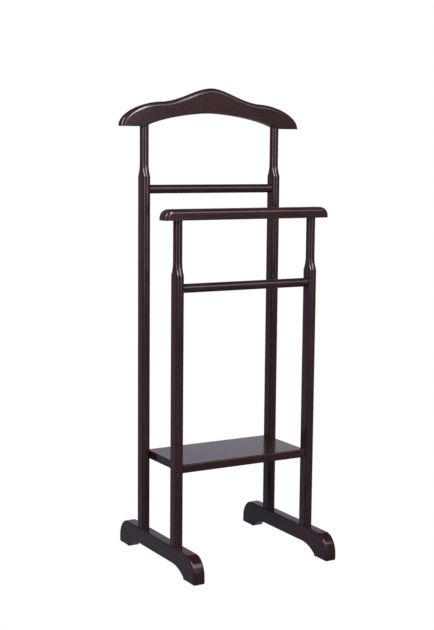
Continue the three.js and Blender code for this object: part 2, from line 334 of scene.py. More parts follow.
def sand(piece, sharp_angle=SHARP_ANGLE):
    """Closes doubles, turns all faces outwards and smooths the shading over the roundings."""
    take(piece)
    bpy.ops.object.mode_set(mode="EDIT")
    bpy.ops.mesh.select_all(action="SELECT")
    bpy.ops.mesh.remove_doubles(threshold=TINY)
    bpy.ops.mesh.dissolve_degenerate(threshold=TINY)
    bpy.ops.mesh.select_all(action="SELECT")
    bpy.ops.mesh.normals_make_consistent(inside=False)
    done()
    bpy.ops.object.shade_smooth_by_angle(angle=math.radians(sharp_angle))
    smoothing = piece.modifiers.new("flat faces stay flat", "WEIGHTED_NORMAL")
    smoothing.mode = "FACE_AREA"
    smoothing.weight = FLAT_FACE_WEIGHT
    smoothing.keep_sharp = True
    bpy.ops.object.modifier_apply(modifier=smoothing.name)


def dress(piece, finish):
    """Gives a piece one finish in place of those it has."""
    piece.data.materials.clear()
    piece.data.materials.append(finish)


def fit(piece, node, finish):
    """Puts a finished piece in the place of its node in the frame."""
    dress(piece, finish)
    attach(piece, "root")
    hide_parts(node)


# ---- Finishes ----

# A noise pattern; its scale is per metre, and a stretch under 1 draws it out along that axis
Pattern = namedtuple(
    "Pattern",
    "scale detail roughness stretch distortion",
    defaults=(0.5, (1, 1, 1), 0.0),
)


class Value:
    """A socket of a finish, with the operators that add its Math nodes."""

    def __init__(self, finish, socket):
        self.finish = finish
        self.socket = socket

    def math(self, operation, first, second=0.0):
        """Adds a Math node."""
        node = self.finish.add("ShaderNodeMath", {"operation": operation}, {0: first, 1: second})
        return Value(self.finish, node.outputs[0])

    def __add__(self, other):
        return self.math("ADD", self, other)

    __radd__ = __add__

    def __sub__(self, other):
        return self.math("SUBTRACT", self, other)

    def __rsub__(self, other):
        return self.math("SUBTRACT", other, self)

    def __mul__(self, other):
        return self.math("MULTIPLY", self, other)

    __rmul__ = __mul__

    def __truediv__(self, other):
        return self.math("DIVIDE", self, other)

    def __pow__(self, other):
        return self.math("POWER", self, other)

    def __abs__(self):
        return self.math("ABSOLUTE", self)

    def sine(self):
        return self.math("SINE", self)

    def at_most(self, other):
        return self.math("MINIMUM", self, other)

    def at_least(self, other):
        return self.math("MAXIMUM", self, other)


class Finish:
    """A material or a world, built node by node."""

    def __init__(self, holder):
        holder.use_nodes = True
        self.holder = holder
        self.tree = holder.node_tree
        self.tree.nodes.clear()

    def add(self, kind, settings, inputs):
        """Adds a node: its type, its settings, and the values or links of its sockets."""
        node = self.tree.nodes.new(kind)
        for name, setting in settings.items():
            setattr(node, name, setting)
        for name, value in inputs.items():
            if isinstance(value, Value):
                self.tree.links.new(value.socket, node.inputs[name])
            else:
                node.inputs[name].default_value = value
        return node

    def value(self, kind, settings, inputs, output=0):
        """Adds a node and gives one of its outputs."""
        return Value(self, self.add(kind, settings, inputs).outputs[output])

    def place(self):
        """Where a point lies on its piece."""
        return self.value("ShaderNodeTexCoord", {}, {}, "Object")

    def parts(self, vector):
        """The X, Y and Z of a vector."""
        node = self.add("ShaderNodeSeparateXYZ", {}, {"Vector": vector})
        return [Value(self, output) for output in node.outputs]

    def noise(self, place, pattern):
        """A noise pattern, about 0 to 1."""
        drawn_out = {"Vector": place, "Scale": pattern.stretch}
        inputs = {
            "Vector": self.value("ShaderNodeMapping", {}, drawn_out),
            "Scale": pattern.scale,
            "Detail": pattern.detail,
            "Roughness": pattern.roughness,
            "Distortion": pattern.distortion,
        }
        return self.value("ShaderNodeTexNoise", {}, inputs)

    def ramp(self, value, start, end):
        """0 up to the start, 1 from the end on, and a soft rise between them."""
        settings = {"interpolation_type": "SMOOTHSTEP", "clamp": True}
        inputs = {"Value": value, "From Min": start, "From Max": end, "To Min": 0.0, "To Max": 1.0}
        return self.value("ShaderNodeMapRange", settings, inputs)

    def blend(self, share, one, other):
        """A colour between two colours; they have sockets 6 and 7 of the Mix node."""
        settings = {"data_type": "RGBA", "blend_type": "MIX", "clamp_factor": True}
        return self.value("ShaderNodeMix", settings, {0: share, 6: one, 7: other}, 2)

    def bump(self, relief, strength, depth):
        """How a relief tilts the surface."""
        inputs = {"Strength": strength, "Distance": depth, "Height": relief}
        return self.value("ShaderNodeBump", {}, inputs)

    def surface(self, inputs):
        """Ends a material with one surface shader."""
        shader = self.value("ShaderNodeBsdfPrincipled", {}, inputs)
        self.add("ShaderNodeOutputMaterial", {}, {"Surface": shader})
        return self.holder


def colour(red, green, blue):
    """A colour written as a picture shows it, 0 to 255, for a node."""
    def linear(part):
        share = part / 255
        return share / 12.92 if share <= 0.04045 else ((share + 0.055) / 1.055) ** 2.4
    return (linear(red), linear(green), linear(blue), 1.0)


# Stained wood: its colours, and how a pattern is turned so that its Z runs along the grain
STAIN_DEEP = colour(27, 16, 17)
STAIN_BROWN = colour(51, 30, 30)
STAIN_RED = colour(72, 38, 37)
STAIN_PORE = colour(18, 11, 13)
STAIN_WORN = colour(88, 54, 50)
GRAIN_TURNS = {X: (0, math.pi / 2, 0), Y: (math.pi / 2, 0, 0), Z: (0, 0, 0)}

# Its patterns, drawn out along the grain
RING_SWAY = Pattern(scale=9.0, detail=2.0, stretch=(1, 1, 0.25))
FIBRES = Pattern(scale=520.0, detail=5.0, roughness=0.62, stretch=(1, 1, 0.022), distortion=0.15)
FINE_FIBRES = Pattern(scale=1900.0, detail=3.0, roughness=0.6, stretch=(1, 1, 0.03))
CLOUDS = Pattern(scale=16.0, detail=3.0, roughness=0.55, stretch=(1, 1, 0.4))
PORES = Pattern(scale=2600.0, detail=2.0, stretch=(1, 1, 0.055))
RUBBING = Pattern(scale=70.0, detail=3.0, roughness=0.6, stretch=(1, 1, 0.35))

# Its growth rings: their width, how many rings they sway by, how narrow the dark late wood is
RING_WIDTH = 0.0032
RING_SWAY_REACH = 2.6
LATE_WOOD_POWER = 2.5

# Where each pattern begins and is full, and the middle of a noise
PORE_RANGE = (0.63, 0.71)
FIBRE_RANGE = (0.3, 0.72)
FINE_FIBRE_RANGE = (0.42, 0.75)
CLOUD_RANGE = (0.3, 0.7)
RUBBING_RANGE = (0.38, 0.7)
NOISE_MIDDLE = 0.5

# Wear: how far a rounding has turned where it begins and is full, how fast it ends towards a
# height, per metre, and the heights under which all the edges or none are worn
WORN_TURN = (0.03, 0.24)
WEAR_FADE = 400
ALL_WORN = 2
NONE_WORN = 0

# How much each pattern adds to the brown of the stain, and how far the other colours cover it
FIBRE_TONE = 0.5
CLOUD_TONE = 0.35
RING_TONE = 0.3
RED_SHARE = 0.9
WORN_SHARE = 0.16
PORE_SHARE = 0.75

# The lacquer: its roughness, what each pattern adds to it, and its shine
LACQUER_ROUGHNESS = 0.15
FIBRE_ROUGHNESS = 0.015
CLOUD_ROUGHNESS = 0.03
PORE_ROUGHNESS = 0.01
WORN_ROUGHNESS = 0.05
LACQUER_IOR = 1.5
LACQUER_SHINE = 0.5
LACQUER_TINT = (0.96, 0.91, 1.0, 1.0)

# The relief of the grain, and how far it shows through the lacquer
FIBRE_RELIEF = 0.35
FINE_FIBRE_RELIEF = 0.15
PORE_RELIEF = 0.6
RING_RELIEF = 0.1
GRAIN_DEPTH = 0.0001
GRAIN_FELT = 0.03
SHELF_GRAIN_FELT = 0.7

# Bare beech: its colours, patterns and surface
BEECH_DARK = colour(172, 128, 86)
BEECH_LIGHT = colour(206, 168, 122)
BEECH_FLECK = colour(128, 84, 52)
BEECH_FIBRES = Pattern(scale=900.0, detail=4.0, roughness=0.6, stretch=(0.05, 1, 1))
BEECH_FLECKS = Pattern(scale=2600.0, detail=2.0, stretch=(0.05, 1, 1))
FLECK_RANGE = (0.6, 0.7)
FLECK_SHARE = 0.5
BEECH_ROUGHNESS = 0.62
BEECH_FIBRE_ROUGHNESS = 0.2
BEECH_GRAIN_FELT = 0.4

# Zinc plating: its colours, patterns and surface
ZINC_BRIGHT = colour(196, 200, 204)
ZINC_DULL = colour(150, 154, 158)
ALLOY_BRIGHT = colour(214, 196, 146)
ALLOY_DULL = colour(176, 156, 104)
ZINC_BLOOM = Pattern(scale=420.0, detail=4.0, roughness=0.6)
TURNING_LINES = Pattern(scale=5200.0, detail=2.0, stretch=(0.1, 0.1, 1))
CRYSTAL_SCALE = 1500.0
CRYSTAL_RELIEF = 0.3
BLOOM_RANGE = (0.35, 0.7)
ZINC_ROUGHNESS = 0.24
BLOOM_ROUGHNESS = 0.26
TURNING_DEPTH = 0.00005
TURNING_FELT = 0.25


def stained_wood(name, grain, cut_at, worn_below, grain_felt=GRAIN_FELT):
    """Close-grained hardwood with a dark espresso stain under satin lacquer. The grain runs
    along an axis, cut_at is where in the log the board was cut, the edges below a height are a
    little worn, and grain_felt is how far the grain shows through the lacquer."""
    finish = Finish(bpy.data.materials.new(name))
    place = finish.place()
    cut = {"Vector": place, "Location": cut_at, "Rotation": GRAIN_TURNS[grain]}
    board = finish.value("ShaderNodeMapping", {}, cut)
    fibres = finish.noise(board, FIBRES)
    fine = finish.noise(board, FINE_FIBRES)
    clouds = finish.noise(board, CLOUDS)
    pores = finish.ramp(finish.noise(board, PORES), *PORE_RANGE)

    # Growth rings, seen as long soft lines where the board cuts them
    across, deep, _ = finish.parts(board)
    from_heart = (across * across + deep * deep) ** 0.5
    sway = finish.noise(board, RING_SWAY) * RING_SWAY_REACH
    ring = (from_heart / RING_WIDTH + sway) * (2 * math.pi)
    late_wood = (ring.sine() * 0.5 + 0.5) ** LATE_WOOD_POWER

    # Worn edges: where a rounding turns away from the faces beside it
    normal = finish.value("ShaderNodeNewGeometry", {}, {}, "Normal")
    facing = [abs(part) for part in finish.parts(normal)]
    off_face = 1 - facing[X].at_least(facing[Y]).at_least(facing[Z])
    height = finish.parts(place)[Z]
    low_enough = ((worn_below - height) * WEAR_FADE).at_least(0).at_most(1)
    worn = finish.ramp(off_face, *WORN_TURN) * low_enough
    rubbed = worn * finish.ramp(finish.noise(board, RUBBING), *RUBBING_RANGE)

    grain_tone = finish.ramp(fibres, *FIBRE_RANGE) * FIBRE_TONE
    cloud_tone = finish.ramp(clouds, *CLOUD_RANGE) * CLOUD_TONE
    tone = grain_tone + cloud_tone + late_wood * RING_TONE
    redness = finish.ramp(fine, *FINE_FIBRE_RANGE) * (clouds * RED_SHARE)
    wood = finish.blend(tone, STAIN_DEEP, STAIN_BROWN)
    wood = finish.blend(redness, wood, STAIN_RED)
    wood = finish.blend(rubbed * WORN_SHARE, wood, STAIN_WORN)
    wood = finish.blend(pores * PORE_SHARE, wood, STAIN_PORE)

    roughness = LACQUER_ROUGHNESS + fibres * FIBRE_ROUGHNESS
    roughness = roughness + (clouds - NOISE_MIDDLE) * CLOUD_ROUGHNESS
    roughness = roughness + pores * PORE_ROUGHNESS + rubbed * WORN_ROUGHNESS
    relief = fibres * FIBRE_RELIEF + fine * FINE_FIBRE_RELIEF
    relief = relief - pores * PORE_RELIEF + late_wood * RING_RELIEF
    return finish.surface({
        "Base Color": wood,
        "Roughness": roughness,
        "Normal": finish.bump(relief, grain_felt, GRAIN_DEPTH),
        "IOR": LACQUER_IOR,
        "Specular IOR Level": LACQUER_SHINE,
        "Specular Tint": LACQUER_TINT,
    })


def plain_wood(name):
    """Bare beech for the dowels, with fine flecks along the grain."""
    finish = Finish(bpy.data.materials.new(name))
    place = finish.place()
    fibres = finish.noise(place, BEECH_FIBRES)
    flecks = finish.ramp(finish.noise(place, BEECH_FLECKS), *FLECK_RANGE)
    beech = finish.blend(fibres, BEECH_DARK, BEECH_LIGHT)
    return finish.surface({
        "Base Color": finish.blend(flecks * FLECK_SHARE, beech, BEECH_FLECK),
        "Roughness": BEECH_ROUGHNESS + fibres * BEECH_FIBRE_ROUGHNESS,
        "Normal": finish.bump(fibres - flecks, BEECH_GRAIN_FELT, GRAIN_DEPTH),
    })


def plated_metal(name, bright, dull):
    """Zinc plating: a crystalline bloom, rubbed duller in places, with fine turning lines."""
    finish = Finish(bpy.data.materials.new(name))
    place = finish.place()
    bloom = finish.noise(place, ZINC_BLOOM)
    crystals = {"Vector": place, "Scale": CRYSTAL_SCALE}
    grains = finish.value("ShaderNodeTexVoronoi", {}, crystals)
    relief = finish.noise(place, TURNING_LINES) + grains * CRYSTAL_RELIEF
    return finish.surface({
        "Base Color": finish.blend(finish.ramp(bloom, *BLOOM_RANGE), bright, dull),
        "Metallic": 1.0,
        "Roughness": ZINC_ROUGHNESS + bloom * BLOOM_ROUGHNESS,
        "Normal": finish.bump(relief, TURNING_FELT, TURNING_DEPTH),
    })


# ---- Feet ----

def shape_foot(name, x):
    """An arched foot: rounded ends, an arch between two pads, eased edges and bolt recesses."""
    side = FOOT_THICK / 2
    pad_end = FOOT_HALF - FOOT_PAD
    drop = FOOT_ARCH_RADIUS - FOOT_ARCH_HEIGHT

    def where_arch_springs(edge):
        beside_pad = abs(abs(middle(edge).y) - pad_end) < CURVE_TINY
        return runs_along(edge, X) and lies_at(edge, Z, 0) and beside_pad

    # The ends are rounded as circles on a longer block and then drawn in to ellipses
    rise = FOOT_HEIGHT - FOOT_TOE_HEIGHT
    round_from = FOOT_HALF - FOOT_END
    half = round_from + rise
    foot = block(name, (x - side, -half, 0), (x + side, half, FOOT_HEIGHT))
    round_edges(foot, rise, along_at(X, Z, FOOT_HEIGHT), segments=24)
    for way in (-1, 1):
        pick(foot, "VERT", lambda corner: corner.co.y * way > round_from + TINY)
        centre = (x, way * round_from, 0)
        bpy.ops.transform.resize(value=(1, FOOT_END / rise, 1), center_override=centre)
        done()
    round_edges(foot, FOOT_CORNER, along_at(X, Z, 0), segments=6)

    # The arch springs from the pads in a big radius
    spring = math.sqrt(FOOT_ARCH_RADIUS ** 2 - drop ** 2)
    half = pad_end - spring + FOOT_ARCH_RADIUS
    wide = side + OVERRUN
    arch = block("arch", (x - wide, -half, -drop), (x + wide, half, FOOT_ARCH_HEIGHT))
    round_edges(arch, FOOT_ARCH_RADIUS, along_at(X, Z, FOOT_ARCH_HEIGHT), segments=30)
    combine(foot, arch, "DIFFERENCE")
    # A rounding reaches along each face by its radius times the tangent of half the turn
    turn = math.acos(drop / FOOT_ARCH_RADIUS)
    round_edges(foot, PAD_CORNER * math.tan(turn / 2), where_arch_springs, segments=6)
    round_edges(foot, FOOT_EDGE, in_plane(X, x - side, x + side), segments=5)

    for y in (FRONT_POST_Y, REAR_POST_Y):
        drill(foot, RECESS_RADIUS, (x, y, -OVERRUN), (x, y, RECESS_TOP))
        drill(foot, HOLE_RADIUS, (x, y, FOOT_ARCH_HEIGHT), (x, y, FOOT_HEIGHT + OVERRUN))
    sand(foot)
    return foot


# ---- Yoke and front rail ----

def yoke_outline():
    """The corners of the yoke's outline, each with the handles of its curve before and after:
    from the crown over the right half, the arch and the left half."""
    def top(share):
        return (share[0] * YOKE_HALF, share[1] * YOKE_RISE)

    def arch(share):
        return (share[0] * YOKE_ARCH_HALF, share[1] * YOKE_ARCH_RISE)

    def third(one, other):
        return (one[0] + (other[0] - one[0]) / 3, one[1] + (other[1] - one[1]) / 3)

    def mirror(point):
        return (-point[0], point[1])

    tip = top(YOKE_TIP)
    spring = arch(YOKE_SPRING)
    right = [
        (top(YOKE_WAIST), top(YOKE_WAIST_IN), top(YOKE_WAIST_OUT)),
        (tip, top(YOKE_TIP_IN), third(tip, spring)),
        (spring, third(spring, tip), arch(YOKE_SPRING_IN)),
    ]
    left = [
        (mirror(corner), mirror(after), mirror(before))
        for corner, before, after in reversed(right)
    ]
    crown = (top(YOKE_CROWN), mirror(top(YOKE_CROWN_OUT)), top(YOKE_CROWN_OUT))
    keystone = (arch(YOKE_ARCH), arch(YOKE_ARCH_OUT), mirror(arch(YOKE_ARCH_OUT)))
    return [crown, *right, keystone, *left]


def yoke_blank(name):
    """The yoke's sawn outline, swept through its thickness and rounded along its top."""
    front = REAR_POST_Y - YOKE_THICK / 2
    back = front + YOKE_THICK
    on_rim = in_plane(Y, front, back)

    def over_top(edge):
        place = middle(edge)
        rise = place.z - YOKE_BASE
        past_arch = abs(place.x) > YOKE_ARCH_HALF + OVERRUN and rise > TINY
        return rise > YOKE_ARCH_RISE + OVERRUN or past_arch

    def on_underside(edge):
        at_base = lies_at(edge, Z, YOKE_BASE)
        at_spring = runs_along(edge, Y) and abs(middle(edge).x) < YOKE_ARCH_HALF + OVERRUN
        return (at_base and not at_spring) or (on_rim(edge) and not over_top(edge))

    def on_front(point):
        return (point[0], front, YOKE_BASE + point[1])

    outline = yoke_outline()
    take(None)
    bpy.ops.curve.primitive_bezier_curve_add()
    drawn = bpy.context.object
    drawn.location = (0, 0, 0)
    line = drawn.data.splines[0]
    line.bezier_points.add(len(outline) - len(line.bezier_points))
    line.use_cyclic_u = True
    drawn.data.resolution_u = YOKE_STEPS
    for knot, (corner, before, after) in zip(line.bezier_points, outline):
        knot.handle_left_type = "FREE"
        knot.handle_right_type = "FREE"
        knot.co = on_front(corner)
        knot.handle_left = on_front(before)
        knot.handle_right = on_front(after)
    take(drawn)
    bpy.ops.object.convert(target="MESH")
    yoke = settle(bpy.context.object, name)

    bpy.ops.object.mode_set(mode="EDIT")
    bpy.ops.mesh.select_all(action="SELECT")
    bpy.ops.mesh.remove_doubles(threshold=TINY)
    bpy.ops.mesh.select_all(action="SELECT")
    bpy.ops.mesh.edge_face_add()
    bpy.ops.mesh.extrude_region_move(TRANSFORM_OT_translate={"value": (0, YOKE_THICK, 0)})
    bpy.ops.mesh.select_all(action="SELECT")
    bpy.ops.mesh.normals_make_consistent(inside=False)
    bpy.ops.mesh.dissolve_limited(angle_limit=math.radians(ONE_LINE_ANGLE))
    done()
    round_edges(yoke, YOKE_EDGE, lambda edge: on_rim(edge) and over_top(edge), segments=8)
    round_edges(yoke, YOKE_LOWER_EASE, on_underside)
    return yoke


def bore_for_posts(piece, y, base, tenon):
    """Bores from below for the tenons of a pair of posts."""
    for x in (-POST_X, POST_X):
        start = (x, y, base - OVERRUN)
        end = (x, y, base + tenon + END_ROOM)
        drill(piece, TOP_TENON_RADIUS + GAP, start, end)


def shape_yoke(name):
    """The shoulder yoke, with its bores for the rear posts."""
    yoke = yoke_blank(name)
    bore_for_posts(yoke, REAR_POST_Y, YOKE_BASE, YOKE_TENON)
    sand(yoke)
    return yoke


def shape_rail(name):
    """A straight rail, flat below, with quarter-round ends and a rounded top."""
    front = FRONT_POST_Y - RAIL_THICK / 2
    back = FRONT_POST_Y + RAIL_THICK / 2
    top = RAIL_BASE + RAIL_HEIGHT
    on_rim = in_plane(Y, front, back)

    def over_top(edge):
        return on_rim(edge) and not lies_at(edge, Z, RAIL_BASE)

    rail = block(name, (-RAIL_HALF, front, RAIL_BASE), (RAIL_HALF, back, top))
    round_edges(rail, RAIL_END, along_at(Y, Z, top), segments=18)
    round_edges(rail, RAIL_EDGE, over_top, segments=9)
    round_edges(rail, RAIL_LOWER_EASE, in_plane(Z, RAIL_BASE))
    bore_for_posts(rail, FRONT_POST_Y, RAIL_BASE, RAIL_TENON)
    sand(rail)
    return rail


# ---- Posts ----

def flare_profile(neck_foot):
    """Half depth and height from the flare's foot up to the neck, as one hollow; the foot's
    corner is eased."""
    deep = POST_DEPTH / 2
    neck = NECK_DEPTH / 2
    length = math.sqrt(FLARE_RADIUS ** 2 - (FLARE_RADIUS - (deep - neck)) ** 2)

    def hollow(drop):
        return (neck + FLARE_RADIUS - math.sqrt(FLARE_RADIUS ** 2 - drop ** 2), neck_foot - drop)

    below = (deep, neck_foot - length - FLARE_EASE)
    above = hollow(length - FLARE_EASE)
    corner_reach = deep * FLARE_CORNER_SHARE + above[0] * (1 - FLARE_CORNER_SHARE)
    corner = (corner_reach, neck_foot - length)
    shares = [1 - step / FLARE_STEPS for step in range(1, FLARE_STEPS + 1)]
    return [below, corner, above, *(hollow((length - FLARE_EASE) * share) for share in shares)]


def shape_post(name, side, row, yoke):
    """A post of round-edged board, hollowed before and behind to a flare and a round neck,
    with a tenon and its bores. Where a yoke is given, the neck is scribed to its arch."""
    x = side * POST_X
    y = row.y
    half = POST_THICK / 2
    deep = POST_DEPTH / 2
    profile = flare_profile(row.bar_z + NECK_ABOVE_BAR)
    flare_foot = profile[0][1]
    profile.append((NECK_DEPTH / 2, row.top_z + (YOKE_ARCH_RISE if yoke else 0)))
    post = block(name, (x - half, y - deep, FOOT_HEIGHT), (x + half, y + deep, flare_foot))
    pick(post, "FACE", lambda face: face.normal.z > STRAIGHT_SHARE)
    draw_up(profile, x, y, narrows_sideways=False)
    done()

    def rises(edge):
        return abs(edge.verts[0].co.z - edge.verts[1].co.z) > TINY

    round_edges(post, POST_EDGE, rises, segments=12)
    round_edges(post, POST_FOOT_EASE, in_plane(Z, FOOT_HEIGHT))
    if yoke:
        combine(post, copy_of(yoke, "scribe", (0, 0, -SEAM)), "DIFFERENCE")
    tenon_top = row.top_z + row.tenon
    tenon = [
        (TOP_TENON_RADIUS, row.top_z - OVERRUN),
        (TOP_TENON_RADIUS, tenon_top - TENON_CHAMFER),
        (TOP_TENON_RADIUS - TENON_CHAMFER, tenon_top),
    ]
    combine(post, turned("tenon", tenon, ROUND_FACETS, (x, y, 0)), "UNION")

    inner = side * INNER_X
    mouth = inner - side * OVERRUN
    bar_end = inner + side * (BAR_TENON + END_ROOM)
    drill(post, BAR_TENON_RADIUS + GAP, (mouth, y, row.bar_z), (bar_end, y, row.bar_z))
    z = SHELF_TOP - SHELF_THICK / 2
    dowel_end = inner + side * (DOWEL_IN_POST + END_ROOM)
    drill(post, DOWEL_RADIUS + GAP, (mouth, row.dowel_y, z), (dowel_end, row.dowel_y, z))
    drill(post, INSERT_BORE_RADIUS, (x, y, FOOT_HEIGHT - OVERRUN), (x, y, INSERT_BORE_TOP))
    sand(post, POST_SHARP_ANGLE)
    return post


# ---- Bars and shelf ----

def shape_bar(name, y, z):
    """A round trouser bar whose turned-down ends sit in the posts."""
    ease = BAR_SHOULDER_EASE
    end = INNER_X + BAR_TENON
    half = [
        (BAR_RADIUS, INNER_X - ease),
        (BAR_RADIUS - ease, INNER_X),
        (BAR_TENON_RADIUS, INNER_X),
        (BAR_TENON_RADIUS, end - TENON_CHAMFER),
        (BAR_TENON_RADIUS - TENON_CHAMFER, end),
    ]
    profile = [(radius, -place) for radius, place in reversed(half)] + half
    bar = turned(name, profile, BAR_FACETS, (0, y, z), lying=True)
    sand(bar)
    return bar


def shape_shelf(name):
    """The shelf board, its long edges rounded and its ends flat against the posts."""
    bottom = SHELF_TOP - SHELF_THICK
    shelf = block(name, (-INNER_X, SHELF_FRONT_Y, bottom), (INNER_X, SHELF_REAR_Y, SHELF_TOP))
    round_edges(shelf, SHELF_EDGE, lambda edge: runs_along(edge, X), segments=6)
    round_edges(shelf, SHELF_END_EASE, in_plane(X, -INNER_X, INNER_X))
    z = SHELF_TOP - SHELF_THICK / 2
    for side in (-1, 1):
        for y in (FRONT_DOWEL_Y, REAR_DOWEL_Y):
            outside = side * (INNER_X + OVERRUN)
            inside = side * (INNER_X - DOWEL_IN_SHELF - END_ROOM)
            drill(shelf, DOWEL_RADIUS + GAP, (outside, y, z), (inside, y, z))
    sand(shelf)
    return shelf


# ---- Foot bolts and washers ----

def shape_bolt(name, x, y):
    """A socket-head bolt, head down, with a hexagon socket."""
    bottom = BOLT_HEAD_TOP - BOLT_HEAD_HEIGHT
    chamfer = BOLT_HEAD_CHAMFER
    profile = [
        (BOLT_HEAD_RADIUS - chamfer, bottom),
        (BOLT_HEAD_RADIUS, bottom + chamfer),
        (BOLT_HEAD_RADIUS, BOLT_HEAD_TOP),
        (BOLT_RADIUS, BOLT_HEAD_TOP),
        (BOLT_RADIUS, BOLT_TIP - chamfer),
        (BOLT_RADIUS - chamfer, BOLT_TIP),
    ]
    bolt = turned(name, profile, ROUND_FACETS, (x, y, 0))
    socket_corner = BOLT_SOCKET_ACROSS / 2 / math.cos(math.pi / HEXAGON)
    socket_floor = (x, y, bottom + BOLT_SOCKET_DEPTH)
    drill(bolt, socket_corner, (x, y, bottom - OVERRUN), socket_floor, HEXAGON)
    sand(bolt)
    return bolt


def shape_washer(name, x, y):
    """A plain washer on a bolt's head, with chamfered edges."""
    top = BOLT_HEAD_TOP + WASHER_THICK
    chamfer = WASHER_CHAMFER
    profile = [
        (WASHER_RADIUS - chamfer, BOLT_HEAD_TOP),
        (WASHER_RADIUS, BOLT_HEAD_TOP + chamfer),
        (WASHER_RADIUS, top - chamfer),
        (WASHER_RADIUS - chamfer, top),
    ]
    washer = turned(name, profile, ROUND_FACETS, (x, y, 0))
    drill(washer, HOLE_RADIUS, (x, y, BOLT_HEAD_TOP - OVERRUN), (x, y, top + OVERRUN))
    sand(washer)
    return washer


# ---- The stand ----

# Where in the log each piece is cut: a place, how far it moves to either side for the left and
# right piece, and how far for each metre towards the back
FOOT_CUT = (0.05, 0.062, 0)
FOOT_CUT_BY_SIDE = (0.11, 0, 0.3)
POST_CUT = (0.07, 0.05, 0)
POST_CUT_BY_SIDE = (0.04, 0, 0.2)
POST_CUT_BY_Y = (0, -0.5, 1)
YOKE_CUT = (0.04, -0.02, 0.9)
RAIL_CUT = (0.08, 0.11, 0.4)
REAR_BAR_CUT = (0.05, -0.1, 0.2)
FRONT_BAR_CUT = (-0.06, 0.09, 0.7)
SHELF_CUT = (0.12, 0.03, 0.1)

# The edges of the posts are worn up to a little above the bars
WEAR_ABOVE_BAR = 0.02


def fit_wood(piece, node, wood):
    """Fits a piece of stained wood."""
    fit(piece, node, wood)


def make_stand():
    """Shapes, stains and fits every piece that shows, and the bolts and washers."""
    steel = plated_metal("zinc_steel", ZINC_BRIGHT, ZINC_DULL)
    yoke_scribe = yoke_blank("yoke_scribe")
    for side_name, side in SIDES:
        x = side * POST_X
        cut = [start + side * by_side for start, by_side in zip(FOOT_CUT, FOOT_CUT_BY_SIDE)]
        wood = stained_wood(f"foot_wood_{side_name}", Y, cut, ALL_WORN)
        fit_wood(shape_foot(f"arched_foot_{side_name}", x), f"foot_{side_name}", wood)
        for row in ROWS:
            where = f"{row.name}_{side_name}"
            scribe = yoke_scribe if row.name == "rear" else None
            post = shape_post(f"necked_post_{where}", side, row, scribe)
            cut = [
                start + side * by_side + row.y * by_y
                for start, by_side, by_y in zip(POST_CUT, POST_CUT_BY_SIDE, POST_CUT_BY_Y)
            ]
            wood = stained_wood(f"post_wood_{where}", Z, cut, row.bar_z + WEAR_ABOVE_BAR)
            fit_wood(post, f"post_{where}", wood)
            bolt = shape_bolt(f"socket_bolt_{where}", x, row.y)
            fit(bolt, f"foot_bolt_{where}", steel)
            washer = shape_washer(f"washer_{where}", x, row.y)
            fit(washer, f"foot_washer_{where}", steel)
    bpy.data.objects.remove(yoke_scribe, do_unlink=True)

    wood = stained_wood("yoke_wood", X, YOKE_CUT, ALL_WORN)
    fit_wood(shape_yoke("shoulder_yoke"), "hanger_yoke", wood)
    wood = stained_wood("rail_wood", X, RAIL_CUT, ALL_WORN)
    fit_wood(shape_rail("front_rail"), "front_top_rail", wood)
    wood = stained_wood("rear_bar_wood", X, REAR_BAR_CUT, NONE_WORN)
    fit_wood(shape_bar("rear_bar", REAR_POST_Y, REAR_BAR_Z), "rear_trouser_bar", wood)
    wood = stained_wood("front_bar_wood", X, FRONT_BAR_CUT, NONE_WORN)
    fit_wood(shape_bar("front_bar", FRONT_POST_Y, FRONT_BAR_Z), "front_trouser_bar", wood)
    wood = stained_wood("shelf_wood", X, SHELF_CUT, ALL_WORN, SHELF_GRAIN_FELT)
    fit_wood(shape_shelf("shelf_board"), "shelf", wood)


def finish_hidden_pieces():
    """The inserts and dowels keep their shapes and get their own finishes."""
    beech = plain_wood("plain_wood")
    alloy = plated_metal("zinc_alloy", ALLOY_BRIGHT, ALLOY_DULL)
    for side_name, _ in SIDES:
        for row in ROWS:
            for kind, finish in (("post_insert", alloy), ("shelf_dowel", beech)):
                dress(bpy.data.objects[f"{kind}_{row.name}_{side_name}"], finish)


# ---- Studio ----

# The camera of the photo, fitted to the stand's straight lines
CAMERA_PLACE = Vector((-1.455616, -2.462388, 0.922479))
CAMERA_YAW = math.radians(30.0948)
CAMERA_PITCH = math.radians(-7.3451)
CAMERA_ROLL = math.radians(0.5294)
CAMERA_LENS = 72.299
CAMERA_SENSOR = 36

# The floor: its place, size and paint, the distances from the stand over which it turns white,
# its white beside the stand, and where along Y the part that the lacquer mirrors more begins
# and is full
FLOOR_PLACE = (0.9, 1.55, -0.0005)
FLOOR_SIZE = (3.2, 6.0, 1)
FLOOR_PAINT = (0.8, 0.8, 0.8, 1)
FLOOR_WHITENS = (0.3, 1.3)
FLOOR_WHITE_NEAR = 0.9
FLOOR_FRONT = (0.05, -0.5)

# How much of the white of the backdrop, of the floor, and more of the floor in front, glossy
# and clear surfaces see
BACKDROP_SHARE = 0.42
FLOOR_SHARE = 0.03
FRONT_FLOOR_SHARE = 0.3

# The room's colours
WALL = (0.17, 0.18, 0.185, 1)
LEFT_WALL = (0.24, 0.235, 0.32, 1)
BACKDROP_SPILL = (0.465, 0.387, 0.59, 1)
CEILING = (0.012, 0.012, 0.014, 1)
WHITE = (1, 1, 1, 1)

# Ways from the stand to the backdrop and to the wall at the left, and where each begins and is
# full towards its middle
BACKDROP_WAY = (math.sin(CAMERA_YAW), math.cos(CAMERA_YAW))
LEFT_WALL_WAY = (-0.5, 0.87)
BACKDROP_SIDES = (0.72, 0.88)
LEFT_WALL_SIDES = (0.75, 0.95)

